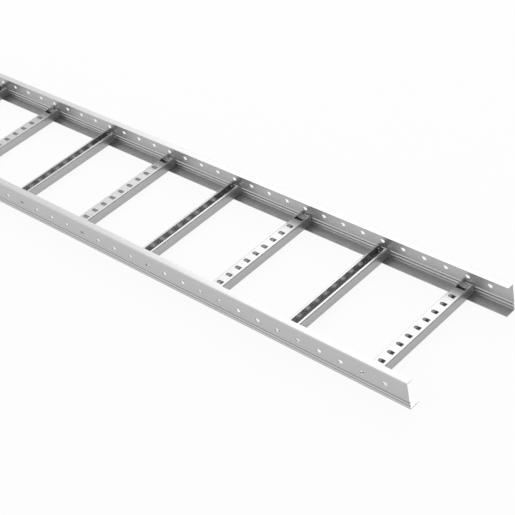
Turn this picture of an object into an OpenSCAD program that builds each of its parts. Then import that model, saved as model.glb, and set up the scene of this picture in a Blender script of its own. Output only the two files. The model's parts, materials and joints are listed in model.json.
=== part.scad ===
// Cable ladder section: two cold-rolled side rails joined by slotted C-profile rungs.
// Every second rung is turned over, so one shows its slotted face and the next its open side.
// Frame: +X along the ladder, +Y across it, +Z up, origin under the middle, on the rest plane.

/* [Ladder] */
// Length of the section
ladder_length = 3000; // [1000:200:6000]
// Width over the outsides of the two side rails
ladder_width = 300; // [200:50:600]
// Distance between rung centres
rung_spacing = 200; // [200:50:400]

/* [Side rail] */
// Height of the rail
rail_height = 60; // [56:2:100]
// Width of the top flange, which points inward
top_flange = 14; // [12:1:20]
// Width of the bottom flange, which carries the rungs
bottom_flange = 24; // [20:1:30]
// Sheet thickness of the rail
rail_sheet = 1.5; // [1:0.25:2]
// Distance between the slots in the web
web_slot_pitch = 50; // [25:25:100]
// Length of a slot in the web
web_slot_length = 11; // [9:1:18]
// Height of a slot in the web
web_slot_width = 7; // [5:0.5:8]
// Height of the row of slots above the rest plane
web_slot_height = 34; // [32:1:40]
// Height of the lower stiffening groove
lower_groove_height = 7.5; // [7.25:0.25:8]
// Height of the upper stiffening groove
upper_groove_height = 15; // [15:0.5:17]

/* [Rung] */
// Width of a rung's face
rung_width = 28; // [24:1:40]
// Height of a rung
rung_height = 21; // [18:1:24]
// Sheet thickness of a rung
rung_sheet = 1.5; // [1:0.25:2]
// Width of the inturned lips beside the open side
lip_width = 5.5; // [4.5:0.5:7]
// Distance between the slots in the face
face_slot_pitch = 25; // [20:5:50]
// Length of a slot in the face, across the rung
face_slot_length = 13; // [10:1:14]
// Width of a slot in the face, along the rung
face_slot_width = 7.5; // [5:0.5:8]
// How far the strap at each end is pressed into the rung
strap_depth = 4; // [3:0.5:5]

/* [Hidden] */
$fn = 48;
over = 1;

// Bends: inside radii of the rail and the rung
rail_bend = 1;
rung_bend = 1.5;
rail_outer = rail_bend + rail_sheet;
rung_outer = rung_bend + rung_sheet;

// A groove is an arc whose centre lies outside the web, so its mouth is blunt
groove_radius = 2.6;
groove_offset = 0.9;
groove_depth = groove_radius - groove_offset;

// A rung reaches from one rail's groove crests to the other's, with a little play
rung_play = 0.2;
rung_length = ladder_width - 2 * (rail_sheet + groove_depth + rung_play);

// Both ends of a rung: a window in the face, a pressed strap, then a gap to the end
end_gap = 3;
strap_length = 10;
window_length = 10;
window_inner = rung_length / 2 - end_gap - strap_length - window_length;
window_width = rung_width - 2 * (rung_outer + 1.5);

// The strap is an arc over the window's width that sinks by strap_depth
strap_radius = (pow(window_width / 2, 2) + pow(strap_depth, 2)) / (2 * strap_depth);

rung_count = floor(ladder_length / rung_spacing);
first_rung_x = -(rung_count - 1) * rung_spacing / 2;
web_slot_count = floor(ladder_length / web_slot_pitch) - 1;
first_web_slot_x = -(web_slot_count - 1) * web_slot_pitch / 2;
face_slot_count = 2 * floor((window_inner - face_slot_width - 2) / face_slot_pitch) + 1;
first_face_slot_y = -(face_slot_count - 1) * face_slot_pitch / 2;

rail_colour = [0.76, 0.77, 0.78];
rung_colour = [0.82, 0.83, 0.83];

function rung_name(i) = str("rung_", i < 10 ? "0" : "", i);

// A quarter of a ring: the bend between two flat strips of sheet
module bend(inside, sheet) {
    intersection() {
        difference() {
            circle(inside + sheet);
            circle(inside);
        }
        square(inside + sheet);
    }
}

// The sheet pressed inward around a groove, before the groove itself is cut
module groove_crest(height) {
    intersection() {
        translate([-groove_offset, height])
            circle(groove_radius + rail_sheet);
        translate([rail_sheet / 2, height - 2 * groove_radius])
            square(4 * groove_radius);
    }
}

// Rail section: X runs inward from the outer face of the web, Y runs up
module rail_section() {
    difference() {
        union() {
            translate([0, rail_outer])
                square([rail_sheet, rail_height - 2 * rail_outer]);
            translate([rail_outer, rail_height - rail_outer])
                rotate(90)
                    bend(rail_bend, rail_sheet);
            translate([rail_outer, rail_height - rail_sheet])
                square([top_flange - rail_outer, rail_sheet]);
            translate([rail_outer, rail_outer])
                rotate(180)
                    bend(rail_bend, rail_sheet);
            translate([rail_outer, 0])
                square([bottom_flange - rail_outer, rail_sheet]);
            groove_crest(lower_groove_height);
            groove_crest(upper_groove_height);
        }
        translate([-groove_offset, lower_groove_height])
            circle(groove_radius);
        translate([-groove_offset, upper_groove_height])
            circle(groove_radius);
    }
}

// A round-ended slot through a sheet: it runs along X and is cut along Z
module slot(length, width, depth) {
    straight = length - width;
    for (side = [-1, 1])
        translate([side * straight / 2, 0, 0])
            cylinder(d = width, h = depth, center = true);
    cube([straight, width, depth], center = true);
}

module rail() {
    difference() {
        translate([0, -ladder_width / 2, 0])
            rotate([90, 0, 90])
                linear_extrude(ladder_length, center = true)
                    rail_section();
        for (i = [0:web_slot_count - 1])
            translate([
                first_web_slot_x + i * web_slot_pitch,
                (rail_sheet - ladder_width) / 2,
                web_slot_height
            ])
                rotate([90, 0, 0])
                    slot(web_slot_length, web_slot_width, rail_sheet + 2 * over);
    }
}

module left_rail() {
    color(rail_colour)
        mirror([0, 1, 0])
            rail();
}

module right_rail() {
    color(rail_colour)
        rail();
}

// Rung section with its face up: X runs across the rung, Y runs up from the lips
module rung_section() {
    half = rung_width / 2;
    for (side = [0, 1])
        mirror([side, 0]) {
            translate([half - rung_sheet, rung_outer])
                square([rung_sheet, rung_height - 2 * rung_outer]);
            translate([half - rung_outer, rung_height - rung_outer])
                bend(rung_bend, rung_sheet);
            translate([half - rung_outer, rung_outer])
                rotate(-90)
                    bend(rung_bend, rung_sheet);
            translate([half - lip_width, 0])
                square([lip_width - rung_outer, rung_sheet]);
        }
    translate([rung_outer - half, rung_height - rung_sheet])
        square([rung_width - 2 * rung_outer, rung_sheet]);
}

// The strap at one end: an arc of sheet that hangs between the two edges of the face
module strap_section() {
    intersection() {
        translate([0, rung_height + strap_radius - strap_depth])
            difference() {
                circle(strap_radius + rung_sheet, $fn = 96);
                circle(strap_radius, $fn = 96);
            }
        translate([-window_width / 2, 0])
            square([window_width, rung_height]);
    }
}

// The cut-out in the face between the last slot and the end of the rung
module end_window() {
    cut_length = window_length + strap_length + end_gap + over;
    translate([-window_width / 2, window_inner, rung_height - rung_sheet - over])
        cube([window_width, cut_length, rung_sheet + 2 * over]);
}

module rung_body() {
    difference() {
        rotate([90, 0, 0])
            linear_extrude(rung_length, center = true)
                rung_section();
        for (i = [0:face_slot_count - 1])
            translate([0, first_face_slot_y + i * face_slot_pitch, rung_height - rung_sheet / 2])
                slot(face_slot_length, face_slot_width, rung_sheet + 2 * over);
        end_window();
        mirror([0, 1, 0])
            end_window();
    }
    for (side = [-1, 1])
        translate([0, side * (window_inner + window_length + strap_length / 2), 0])
            rotate([90, 0, 0])
                linear_extrude(strap_length, center = true)
                    strap_section();
}

// Rungs stand on the bottom flanges. Odd ones have their face up and even ones their lips up.
module rung(i) {
    face_up = i % 2 == 1;
    color(rung_colour)
        translate([first_rung_x + (i - 1) * rung_spacing, 0, rail_sheet + (face_up ? 0 : rung_height)])
            rotate([0, face_up ? 0 : 180, 0])
                rung_body();
}

left_rail();
right_rail();
for (i = [1:rung_count])
    rung(i);
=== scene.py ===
# %% [markdown]
# # A cable ladder section in galvanised steel
#
# Two side rails are rolled from steel strip. Rungs of a slotted C section join them, and every
# second rung is turned over, so that cables can be strapped to its open side as well as to its
# slotted face. The frame holds the real sizes. The looks are made here: one sheet is traced
# through each section, stretched to its length, punched, and only then given its thickness.

# %% Load the frame
import json
import math

import bmesh
import bpy
from mathutils import Matrix, Vector


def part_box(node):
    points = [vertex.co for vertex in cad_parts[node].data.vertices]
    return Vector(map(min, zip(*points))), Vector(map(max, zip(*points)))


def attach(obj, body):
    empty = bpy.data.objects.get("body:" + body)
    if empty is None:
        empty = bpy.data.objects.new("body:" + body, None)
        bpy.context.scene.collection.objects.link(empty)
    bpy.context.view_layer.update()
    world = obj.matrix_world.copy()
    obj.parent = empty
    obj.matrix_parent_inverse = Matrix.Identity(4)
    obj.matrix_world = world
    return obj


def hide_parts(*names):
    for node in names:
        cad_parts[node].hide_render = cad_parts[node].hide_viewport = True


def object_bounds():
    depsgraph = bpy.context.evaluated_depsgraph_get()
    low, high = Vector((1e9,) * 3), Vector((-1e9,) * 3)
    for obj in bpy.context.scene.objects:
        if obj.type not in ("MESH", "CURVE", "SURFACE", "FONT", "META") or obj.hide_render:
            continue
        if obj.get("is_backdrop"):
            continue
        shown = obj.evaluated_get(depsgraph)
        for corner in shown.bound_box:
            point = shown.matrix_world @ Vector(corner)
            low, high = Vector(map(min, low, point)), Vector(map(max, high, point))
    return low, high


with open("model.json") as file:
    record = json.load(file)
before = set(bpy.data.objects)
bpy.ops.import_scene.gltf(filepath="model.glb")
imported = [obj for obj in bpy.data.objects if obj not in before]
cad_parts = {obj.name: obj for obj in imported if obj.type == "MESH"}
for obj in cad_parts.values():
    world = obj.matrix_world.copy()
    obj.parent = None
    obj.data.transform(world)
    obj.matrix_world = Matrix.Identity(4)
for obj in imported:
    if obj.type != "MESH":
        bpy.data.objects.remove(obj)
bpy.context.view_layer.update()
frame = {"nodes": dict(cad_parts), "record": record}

# %% [markdown]
# ## Sizes
#
# Whatever the frame can tell is read from it: where a rail stands, how long and how high it is,
# and where its slots are. The few sizes that a box does not show, such as the thickness of the
# sheet, are named here once, in metres. The last few say how finely bends are drawn, and how
# close together two vertices count as one.

# %% Sizes of the rail, from its box and its mounts
rail_low, rail_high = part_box("right_rail")
rail_length = rail_high.x - rail_low.x
rail_height = rail_high.z
bottom_flange = rail_high.y - rail_low.y
mounts = {mount["name"]: mount for mount in frame["record"]["mounts"]}
web_slots = mounts["right_rail_slots_middle"]
slot_z = web_slots["pos_m"][2]
slot_length = web_slots["dims"]["slot_length_mm"] / 1000
slot_width = 2 * web_slots["dims"]["hole_r_mm"] / 1000
slot_pitch = mounts["right_rail_slots_plus_x_end"]["dims"]["spacing_x_mm"] / 1000
sheet = 0.0015
top_flange = 0.014
rail_bend = 0.0025
groove_radius = 0.0026
groove_offset = 0.0009
groove_heights = (0.015, 0.0075)
print("rail is", round(rail_length, 3), "long with a slot every", slot_pitch)

# %% Sizes of the rung, from its box
rung_names = sorted(name for name in frame["nodes"] if name.startswith("rung_"))
rung_low, rung_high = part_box(rung_names[0])
rung_width = rung_high.x - rung_low.x
rung_height = rung_high.z - rung_low.z
rung_length = rung_high.y - rung_low.y
rung_bend = 0.002
lip_width = 0.0055
face_slot_pitch = 0.025
face_slot_count = 9
face_slot_length = 0.015
face_slot_width = 0.0085
window_start = 0.1236
window_width = 0.021
strap_start = 0.1336
strap_end = 0.1449
strap_depth = 0.004
print(len(rung_names), "rungs,", round(rung_width, 4), "wide and", round(rung_height, 4), "high")

# %% Steps of each bend, and the gap that counts as closed
bend_steps = 6
groove_steps = 8
slot_steps = 10
strap_steps = 12
weld_gap = 0.00001
print("a bend is drawn in", bend_steps, "steps")

# %% [markdown]
# ## Tracing a section
#
# Rolled strip is flats joined by round bends. A section is drawn the same way, as a pen would
# draw it: one vertex is dragged along a flat, then spun about the centre of a bend. The path
# that it leaves is the outer face of the sheet, seen end on.


# %% Drag a vertex along a flat, or spin it round a bend
def draw_flat(bm, pen, end):
    """Draws a straight edge from pen to the point end, and returns the new pen."""
    pen = bmesh.ops.extrude_vert_indiv(bm, verts=[pen])["verts"][0]
    pen.co = end
    return pen


def draw_bend(bm, pen, centre, axis, degrees, steps):
    """Draws an arc from pen about centre, and returns the new pen."""
    angle = math.radians(degrees)
    spun = bmesh.ops.spin(bm, geom=[pen], cent=centre, axis=axis, angle=angle, steps=steps)
    return next(part for part in spun["geom_last"] if isinstance(part, bmesh.types.BMVert))


# %% Pull a drawn line along, and find the edges of an open end
def pull(bm, edges, offset):
    """Pulls edges by offset, leaving a strip of faces, and returns the leading edges."""
    made = bmesh.ops.extrude_edge_only(bm, edges=edges)["geom"]
    corners = [part for part in made if isinstance(part, bmesh.types.BMVert)]
    bmesh.ops.translate(bm, verts=corners, vec=offset)
    lines = [part for part in made if isinstance(part, bmesh.types.BMEdge)]
    return [edge for edge in lines if all(vert in corners for vert in edge.verts)]


def edges_at(bm, axis, place):
    """The edges that lie wholly at one place along an axis, where 0 is X and 1 is Y."""
    return [edge for edge in bm.edges
            if all(abs(vert.co[axis] - place) < weld_gap for vert in edge.verts)]


def largest_face(bm, axis):
    """The largest face that looks along an axis, either way."""
    facing = [face for face in bm.faces if abs(face.normal[axis]) > 0.9]
    return max(facing, key=lambda face: face.calc_area())


# %% [markdown]
# ## Punching a sheet
#
# A punched hole is easiest in a mesh before the sheet has a thickness. One pitch of the sheet is
# made as a tile: its flat face is taken out, the outline of the hole is drawn inside the gap,
# and the ring between the two is filled again. The tile is then repeated, as the press does it.


# %% Fill the ring between a flat face's border and a hole's outline
def punch(bm, face, outline):
    """Swaps a flat face for a ring of faces round a closed outline that lies in it."""
    border = list(face.edges)
    bmesh.ops.delete(bm, geom=[face], context="FACES_ONLY")
    bmesh.ops.triangle_fill(bm, use_beauty=True, edges=border + outline, normal=(0, 0, 0))


def close_outline(bm, first, last, before):
    """Joins the last vertex to the first and returns every edge drawn since the set before."""
    bm.edges.new((last, first))
    return [edge for edge in bm.edges if edge not in before]


# %% Repeat a punched tile
def repeat(bm, step, count):
    """Repeats everything in bm along step, count tiles in all, and joins the tiles."""
    tile = bm.verts[:] + bm.edges[:] + bm.faces[:]
    bmesh.ops.spin(bm, geom=tile, axis=(0, 0, 1), cent=(0, 0, 0), dvec=step, steps=count - 1,
                   use_duplicate=True)
    bmesh.ops.remove_doubles(bm, verts=bm.verts[:], dist=weld_gap)


# %% [markdown]
# ## From skin to sheet
#
# The skin is turned to face outward and then thickened inward. Which way is outward is read from
# the flat that lies furthest out. The largest flat could be a side wall, which says nothing. The
# narrow faces that thickening adds along the holes and ends are bare cut steel, so they take the
# second material. Such a face has two edges that share no corner and that both lay on the open
# skin's border, or were copied from it.


# %% Give a skin its thickness
def thicken(bm, outside):
    """Turns a skin so that its flat furthest along outside faces that way, and thickens it."""
    bmesh.ops.recalc_face_normals(bm, faces=bm.faces[:])
    flats = [face for face in bm.faces if abs(face.normal.dot(outside)) > 0.99]
    furthest = max(flats, key=lambda face: face.calc_center_median().dot(outside))
    if furthest.normal.dot(outside) < 0:
        bmesh.ops.reverse_faces(bm, faces=bm.faces[:])
    border = bm.edges.layers.int.new("border")
    for edge in bm.edges:
        edge[border] = edge.is_boundary
    bmesh.ops.solidify(bm, geom=bm.faces[:], thickness=sheet)
    for face in bm.faces:
        ends = [vert for edge in face.edges if edge[border] for vert in edge.verts]
        face.material_index = len(ends) == 4 and len(set(ends)) == 4


# %% [markdown]
# ## From mesh to piece
#
# A rung is two meshes, its section and its straps, which become one piece. A piece stays at the
# origin with its place in its mesh, rides on the one rigid body and stands for its CAD node. Bends
# are shaded smooth, and everything sharper than thirty degrees keeps its edge.


# %% Put two meshes together, and make a piece
sharp_angle = math.radians(30)


def join(bm, other):
    """Moves everything in other into bm."""
    carried = bpy.data.meshes.new("carried")
    other.to_mesh(carried)
    other.free()
    bm.from_mesh(carried)
    bpy.data.meshes.remove(carried)


def finish_piece(bm, name, node, materials):
    """Makes a mesh object of bm that stands for a CAD node."""
    mesh = bpy.data.meshes.new(name)
    bm.to_mesh(mesh)
    bm.free()
    for polygon in mesh.polygons:
        polygon.use_smooth = True
    mesh.set_sharp_from_angle(angle=sharp_angle)
    piece = bpy.data.objects.new(name, mesh)
    bpy.context.collection.objects.link(piece)
    for material in materials:
        mesh.materials.append(material)
    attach(piece, "root")
    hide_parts(node)
    return piece


# %% [markdown]
# ## Galvanised steel
#
# Hot-dip zinc is a satin, pale grey metal. Its crystals show as a faint mottle in brightness and
# gloss, and the rolls leave fine streaks along the strip. Cells give the crystals, and noise that
# is stretched along the strip gives the streaks. One mixture of both drives colour and gloss.


# %% Zinc with streaks along one axis
metal_share = 0.9
crystal_scale = 140
streak_share = 0.65
dark_end, pale_end = (0.97, 0.97, 0.97), (1.03, 1.03, 1.025)
roughness_range = (0.33, 0.39)
relief_strength, relief_height = 0.04, 0.0002


def zinc(name, shade, streak_scale):
    """A galvanised finish whose rolling streaks run where streak_scale is smallest."""
    material = bpy.data.materials.new(name)
    material.use_nodes = True
    nodes, links = material.node_tree.nodes, material.node_tree.links
    shader = nodes["Principled BSDF"]
    shader.inputs["Metallic"].default_value = metal_share
    place = nodes.new("ShaderNodeTexCoord")
    place.name = "place"
    crystals = nodes.new("ShaderNodeTexVoronoi")
    crystals.inputs["Scale"].default_value = crystal_scale
    links.new(place.outputs["Object"], crystals.inputs["Vector"])
    stretch = nodes.new("ShaderNodeMapping")
    stretch.inputs["Scale"].default_value = streak_scale
    links.new(place.outputs["Object"], stretch.inputs["Vector"])
    streaks = nodes.new("ShaderNodeTexNoise")
    streaks.inputs["Scale"].default_value = 1
    streaks.inputs["Detail"].default_value = 3
    links.new(stretch.outputs["Vector"], streaks.inputs["Vector"])
    mottle = nodes.new("ShaderNodeMix")
    mottle.inputs["Factor"].default_value = streak_share
    links.new(crystals.outputs["Color"], mottle.inputs["A"])
    links.new(streaks.outputs["Fac"], mottle.inputs["B"])
    tone = nodes.new("ShaderNodeValToRGB")
    tone.name = "tone"
    for element, tint in zip(tone.color_ramp.elements, (dark_end, pale_end)):
        element.color = [shade * part for part in tint] + [1]
    links.new(mottle.outputs["Result"], tone.inputs["Fac"])
    links.new(tone.outputs["Color"], shader.inputs["Base Color"])
    gloss = nodes.new("ShaderNodeMapRange")
    gloss.inputs["To Min"].default_value, gloss.inputs["To Max"].default_value = roughness_range
    links.new(mottle.outputs["Result"], gloss.inputs["Value"])
    links.new(gloss.outputs["Result"], shader.inputs["Roughness"])
    relief = nodes.new("ShaderNodeBump")
    relief.inputs["Strength"].default_value = relief_strength
    relief.inputs["Distance"].default_value = relief_height
    links.new(streaks.outputs["Fac"], relief.inputs["Height"])
    links.new(relief.outputs["Normal"], shader.inputs["Normal"])
    return material


# %% The rail's and the rung's zinc, and the bare steel of a cut edge
rail_shade, rung_shade, cut_shade = 0.58, 0.54, 0.50
along_x, along_y, no_grain = (6, 300, 300), (300, 6, 300), (60, 60, 60)
rail_zinc = zinc("rail_zinc", rail_shade, along_x)
rung_zinc = zinc("rung_zinc", rung_shade, along_y)
cut_steel = zinc("cut_steel", cut_shade, no_grain)
print("made", rail_zinc.name, rung_zinc.name, "and", cut_steel.name)

# %% [markdown]
# ## Painted shade in the grooves
#
# The two grooves have to read as dark lines of shade along the web, and their plain form alone
# shades them too little for that. So their shade is painted into the rail's colour: a ramp over
# the height above the rest plane multiplies it. The dark band lies about each groove's middle, a
# little more below it than above, and fades out over its last half millimetre.


# %% Zinc with painted shade in the grooves
# Painted shade: the height that the ramp spans, the darkest share of colour left in each groove,
# and where each dark band starts and ends
groove_zone = 0.02
groove_shade_shares = (0.4, 0.6)
fade_low, dark_low, dark_high, fade_high = -0.0018, -0.0012, 0.0006, 0.0012
# The colour sockets of a Mix node share their names with its other sockets, so they go by number
colour_a, colour_b, colour_result = 6, 7, 2


def paint_groove_shade(material, grooves):
    """Paints shade into the zinc's colour inside each groove, given as (height, darkest share)
    pairs.
    """
    nodes, links = material.node_tree.nodes, material.node_tree.links
    split = nodes.new("ShaderNodeSeparateXYZ")
    links.new(nodes["place"].outputs["Object"], split.inputs["Vector"])
    share = nodes.new("ShaderNodeMath")
    share.operation = "DIVIDE"
    share.inputs[1].default_value = groove_zone
    links.new(split.outputs["Z"], share.inputs[0])
    # The ramp of painted shade over height, white away from the grooves
    shade_band = nodes.new("ShaderNodeValToRGB")
    shade_band.color_ramp.elements[0].color = (1, 1, 1, 1)
    for height, darkest in grooves:
        stops = ((fade_low, 1), (dark_low, darkest), (dark_high, darkest), (fade_high, 1))
        for step, value in stops:
            stop = shade_band.color_ramp.elements.new((height + step) / groove_zone)
            stop.color = (value, value, value, 1)
    links.new(share.outputs["Value"], shade_band.inputs["Fac"])
    # The zinc's colour is multiplied by the painted shade
    shade_multiply = nodes.new("ShaderNodeMix")
    shade_multiply.data_type = "RGBA"
    shade_multiply.blend_type = "MULTIPLY"
    shade_multiply.inputs["Factor"].default_value = 1
    links.new(nodes["tone"].outputs["Color"], shade_multiply.inputs[colour_a])
    links.new(shade_band.outputs["Color"], shade_multiply.inputs[colour_b])
    links.new(shade_multiply.outputs[colour_result], nodes["Principled BSDF"].inputs["Base Color"])


# Shade is painted into the rail's colour along both grooves
paint_groove_shade(rail_zinc, zip(groove_heights, groove_shade_shares))
print(rail_zinc.name, "is darker at", groove_heights, "metres")

# %% [markdown]
# ## The side rail
#
# The web stands upright with a narrow flange turned in at its top and a wide one at its foot,
# where the rungs stand. Two grooves are rolled into the web's lower part to stiffen it. Half a
# pitch of plain rail is left at each end, so the last slot stands a whole pitch from the cut.


# %% Punch a round-ended slot in the web
def punch_web_slot(bm, middle, web):
    """Punches a slot centred at middle along the rail, in the flat web at Y = web."""
    face = largest_face(bm, 1)
    before = set(bm.edges)
    straight, radius, turn_axis = (slot_length - slot_width) / 2, slot_width / 2, (0, -1, 0)
    first = bm.verts.new((middle - straight, web, slot_z + radius))
    pen = draw_bend(bm, first, (middle - straight, web, slot_z), turn_axis, 180, slot_steps)
    pen = draw_flat(bm, pen, Vector((middle + straight, web, slot_z - radius)))
    pen = draw_bend(bm, pen, (middle + straight, web, slot_z), turn_axis, 180, slot_steps)
    punch(bm, face, close_outline(bm, first, pen, before))


# %% Draw one pitch of the rail, punch it, and repeat it
def rail_skin():
    """The outer face of the right rail as an open skin."""
    bm = bmesh.new()
    start = -(round(rail_length / slot_pitch) - 1) * slot_pitch / 2
    web = rail_low.y
    along = Vector((1, 0, 0))

    def at(inward, up):
        return Vector((start, web + inward, up))

    pen = bm.verts.new(at(top_flange, rail_height))
    pen = draw_flat(bm, pen, at(rail_bend, rail_height))
    pen = draw_bend(bm, pen, at(rail_bend, rail_height - rail_bend), along, 90, bend_steps)
    half_mouth = math.sqrt(groove_radius ** 2 - groove_offset ** 2)
    half_turn = math.degrees(math.acos(groove_offset / groove_radius))
    for height in groove_heights:
        pen = draw_flat(bm, pen, at(0, height + half_mouth))
        pen = draw_bend(bm, pen, at(-groove_offset, height), along, -2 * half_turn, groove_steps)
    pen = draw_flat(bm, pen, at(0, rail_bend))
    pen = draw_bend(bm, pen, at(rail_bend, rail_bend), along, 90, bend_steps)
    draw_flat(bm, pen, at(bottom_flange, 0))
    pull(bm, bm.edges[:], (slot_pitch, 0, 0))
    punch_web_slot(bm, start + slot_pitch / 2, web)
    repeat(bm, (slot_pitch, 0, 0), round(rail_length / slot_pitch) - 1)
    for side in (-1, 1):
        edges = edges_at(bm, 0, side * (rail_length - slot_pitch) / 2)
        pull(bm, edges, (side * slot_pitch / 2, 0, 0))
    return bm


# %% Make both rails, the left one as the mirror image of the right
for side, name in ((-1, "right_rail"), (1, "left_rail")):
    bm = rail_skin()
    thicken(bm, Vector((0, -1, 0)))
    if side > 0:
        bmesh.ops.scale(bm, verts=bm.verts[:], vec=(1, -1, 1))
        bmesh.ops.reverse_faces(bm, faces=bm.faces[:])
    piece = finish_piece(bm, name + "_steel", name, [rail_zinc, cut_steel])
    print(piece.name, "has", len(piece.data.polygons), "faces")

# %% [markdown]
# ## The rung
#
# A rung is a C section: a slotted face, two side walls and two lips beside the open side. The
# tile is repeated once for each slot, and each end is pulled out past it. The face is drawn as
# three strips, so that a window can be cut by taking out the middle one.


# %% Punch a slot in the face, and cut a window
def punch_face_slot(bm, middle):
    """Punches a slot across the face at Y = middle, with one round end and one square end."""
    face = largest_face(bm, 2)
    before = set(bm.edges)
    radius, square_end = face_slot_width / 2, face_slot_length / 2
    round_centre = Vector((radius - square_end, middle, rung_height))
    first = bm.verts.new(round_centre + Vector((0, radius, 0)))
    pen = draw_bend(bm, first, round_centre, (0, 0, 1), 180, slot_steps)
    pen = draw_flat(bm, pen, Vector((square_end, middle - radius, rung_height)))
    pen = draw_flat(bm, pen, Vector((square_end, middle + radius, rung_height)))
    punch(bm, face, close_outline(bm, first, pen, before))


def cut_window(bm, faces):
    """Takes the middle strip of the face out of the faces given, the highest and most central."""
    def rank(face):
        centre = face.calc_center_median()
        return centre.z - abs(centre.x)

    bmesh.ops.delete(bm, geom=[max(faces, key=rank)], context="FACES_ONLY")


# %% Draw one pitch of the rung, punch it, repeat it, and shape its ends
def rung_skin():
    """The outer face of a rung lying face up, centred on the origin, as an open skin."""
    bm = bmesh.new()
    half, height, bend = rung_width / 2, rung_height, rung_bend
    start = -face_slot_count * face_slot_pitch / 2
    along = Vector((0, 1, 0))

    def at(across, up):
        return Vector((across, start, up))

    pen = bm.verts.new(at(half - lip_width, 0))
    pen = draw_flat(bm, pen, at(half - bend, 0))
    pen = draw_bend(bm, pen, at(half - bend, bend), along, -90, bend_steps)
    pen = draw_flat(bm, pen, at(half, height - bend))
    pen = draw_bend(bm, pen, at(half - bend, height - bend), along, -90, bend_steps)
    for across in (window_width / 2, -window_width / 2, bend - half):
        pen = draw_flat(bm, pen, at(across, height))
    pen = draw_bend(bm, pen, at(bend - half, height - bend), along, -90, bend_steps)
    pen = draw_flat(bm, pen, at(-half, bend))
    pen = draw_bend(bm, pen, at(bend - half, bend), along, -90, bend_steps)
    draw_flat(bm, pen, at(lip_width - half, 0))
    pull(bm, bm.edges[:], (0, face_slot_pitch, 0))
    punch_face_slot(bm, start + face_slot_pitch / 2)
    repeat(bm, (0, face_slot_pitch, 0), face_slot_count)
    for side in (-1, 1):
        inner = face_slot_count * face_slot_pitch / 2
        edges = edges_at(bm, 1, side * inner)
        edges = pull(bm, edges, (0, side * (window_start - inner), 0))
        old = set(bm.faces)
        pull(bm, edges, (0, side * (rung_length / 2 - window_start), 0))
        cut_window(bm, [face for face in bm.faces if face not in old])
    bmesh.ops.delete(bm, geom=[edge for edge in bm.edges if not edge.link_faces], context="EDGES")
    return bm


# %% [markdown]
# ### The pressed straps
#
# A strap of the face is left between the window and the rung's end, and the press sinks it into a
# saddle. It is an arc that meets the face's two edges, so a line along the rung is spun about a
# centre above it, and the radius follows from the width of the window and the depth.


# %% Spin the top face of both straps
def strap_skin():
    """The top face of both straps: an arc of sheet that hangs across each window."""
    bm = bmesh.new()
    half = window_width / 2
    radius = (half ** 2 + strap_depth ** 2) / (2 * strap_depth)
    centre = (0, 0, rung_height + radius - strap_depth)
    angle = -2 * math.asin(half / radius)
    for side in (-1, 1):
        stops = (side * strap_start, side * strap_end)
        hinge = [bm.verts.new((-half, stop, rung_height)) for stop in stops]
        edge = bm.edges.new(hinge)
        bmesh.ops.spin(bm, geom=hinge + [edge], cent=centre, axis=(0, 1, 0), angle=angle,
                       steps=strap_steps)
    return bm


# %% [markdown]
# ### Fifteen rungs from one
#
# Every rung is a copy of the same mesh, put where its CAD node's box stands. Every second one is
# turned over about its own length.

# %% Thicken one rung, then copy it to every node
up = Vector((0, 0, 1))
rung_mesh = rung_skin()
thicken(rung_mesh, up)
straps = strap_skin()
thicken(straps, up)
join(rung_mesh, straps)
turn_over = Matrix.Rotation(math.pi, 3, "Y")
for index, name in enumerate(rung_names):
    bm = rung_mesh.copy()
    low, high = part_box(name)
    if index % 2:
        bmesh.ops.rotate(bm, verts=bm.verts[:], cent=(0, 0, rung_height / 2), matrix=turn_over)
    bmesh.ops.translate(bm, verts=bm.verts[:], vec=((low.x + high.x) / 2, 0, low.z))
    piece = finish_piece(bm, name + "_steel", name, [rung_zinc, cut_steel])
rung_mesh.free()
print("a rung has", len(piece.data.polygons), "faces")

# %% [markdown]
# ## Camera
#
# The camera stands well back with a long lens, above the ladder, out beyond the near rail and
# past the +X end. It is turned about the upright, tipped down, and rolled about its own axis.

# %% Camera
camera_place = Vector((2.6598, -1.3342, 1.6605))
azimuth, elevation, roll = math.radians(51.151), math.radians(37.751), math.radians(-12.477)
lens = 96.61
camera = bpy.data.objects.new("camera", bpy.data.cameras.new("camera"))
bpy.context.collection.objects.link(camera)
camera.data.lens = lens
tip = Matrix.Rotation(math.pi / 2 - elevation, 4, "X")
turn = Matrix.Rotation(azimuth, 4, "Z") @ tip @ Matrix.Rotation(roll, 4, "Z")
camera.matrix_world = Matrix.Translation(camera_place) @ turn
bpy.context.scene.camera = camera
print("camera is", round(camera_place.length, 2), "metres from the middle of the ladder")

# %% [markdown]
# ## Floor
#
# The floor is matt and pale, and takes the ladder's soft shadow. Most of what the camera sees of
# it is a plain white glow, which leaves a faint shadow, and the metal's reflections see a smaller
# share of the glow. Diffuse light still comes off the matt floor alone.

# %% Floor
camera_share, gloss_share = 0.93, 0.65
floor_shade, floor_size = 0.9, 60
bpy.ops.mesh.primitive_plane_add(size=floor_size)
floor = bpy.context.object
floor.name = "floor"
floor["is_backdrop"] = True
paint = bpy.data.materials.new("floor_paint")
paint.use_nodes = True
nodes, links = paint.node_tree.nodes, paint.node_tree.links
white = nodes["Principled BSDF"]
white.inputs["Base Color"].default_value = (floor_shade, floor_shade, floor_shade, 1)
white.inputs["Roughness"].default_value = 1
glow = nodes.new("ShaderNodeEmission")
ray = nodes.new("ShaderNodeLightPath")
shine = nodes.new("ShaderNodeMath")
shine.operation = "MULTIPLY"
shine.inputs[1].default_value = gloss_share
links.new(ray.outputs["Is Glossy Ray"], shine.inputs[0])
seen = nodes.new("ShaderNodeMath")
seen.operation = "MULTIPLY_ADD"
seen.inputs[1].default_value = camera_share
links.new(ray.outputs["Is Camera Ray"], seen.inputs[0])
links.new(shine.outputs["Value"], seen.inputs[2])
blend = nodes.new("ShaderNodeMixShader")
links.new(seen.outputs["Value"], blend.inputs["Fac"])
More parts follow.
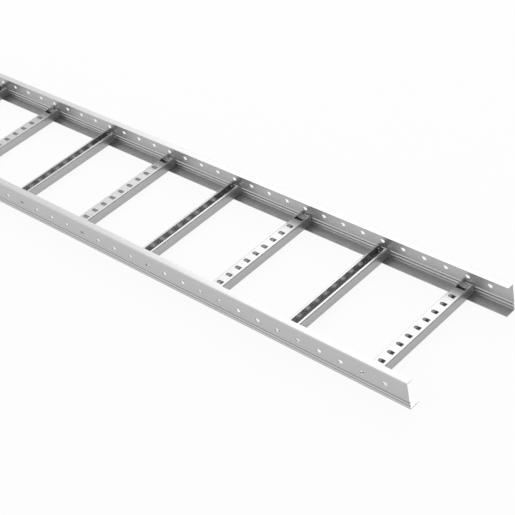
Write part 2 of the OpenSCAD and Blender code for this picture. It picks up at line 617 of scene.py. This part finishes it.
links.new(white.outputs["BSDF"], blend.inputs[1])
links.new(glow.outputs["Emission"], blend.inputs[2])
links.new(blend.outputs["Shader"], nodes["Material Output"].inputs["Surface"])
floor.data.materials.append(paint)
print("floor glow:", camera_share, "for the camera and", gloss_share, "for reflections")

# %% [markdown]
# ## Light
#
# The room is brighter towards -X and dims towards +X. The cosine between a direction and -X says
# how far along that change it lies, and beyond room_turn either way the level stays as it is. A
# large soft panel hangs above and beyond the far rail, and is aimed at a point near the +X end.

# %% Room
room_range = (0.3, 1.12)
room_turn = 0.6
world = bpy.data.worlds.new("studio")
bpy.context.scene.world = world
world.use_nodes = True
nodes, links = world.node_tree.nodes, world.node_tree.links
sky = nodes["Background"]
sky.inputs["Color"].default_value = (1, 1, 1, 1)
direction = nodes.new("ShaderNodeTexCoord")
facing = nodes.new("ShaderNodeVectorMath")
facing.operation = "DOT_PRODUCT"
facing.inputs[1].default_value = (-1, 0, 0)
links.new(direction.outputs["Generated"], facing.inputs[0])
level = nodes.new("ShaderNodeMapRange")
level.inputs["From Min"].default_value = -room_turn
level.inputs["From Max"].default_value = room_turn
level.inputs["To Min"].default_value, level.inputs["To Max"].default_value = room_range
links.new(facing.outputs["Value"], level.inputs["Value"])
links.new(level.outputs["Result"], sky.inputs["Strength"])
print("room strength runs from", room_range[0], "to", room_range[1])

# %% Soft panel
panel_side, panel_distance, panel_radiance = 3.2, 4, 1.35
panel_aim = Vector((-0.35, 0.65, 0.68)).normalized()
lit_point = Vector((0.9, 0, 0))
panel = bpy.data.objects.new("soft_panel", bpy.data.lights.new("soft_panel", "AREA"))
bpy.context.collection.objects.link(panel)
panel.data.shape = "RECTANGLE"
panel.data.size = panel.data.size_y = panel_side
panel.data.energy = panel_side * panel_side * math.pi * panel_radiance
panel.location = lit_point + panel_aim * panel_distance
panel.rotation_euler = panel_aim.to_track_quat("Z", "Y").to_euler()
bpy.context.scene.view_settings.view_transform = "Standard"
print("panel gives", round(panel.data.energy, 1), "watts")

# %% [markdown]
# ## The box of the finished pieces
#
# The box that the finished pieces fill is measured, leaving out the floor.

# %% Measure the finished pieces' box
low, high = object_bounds()
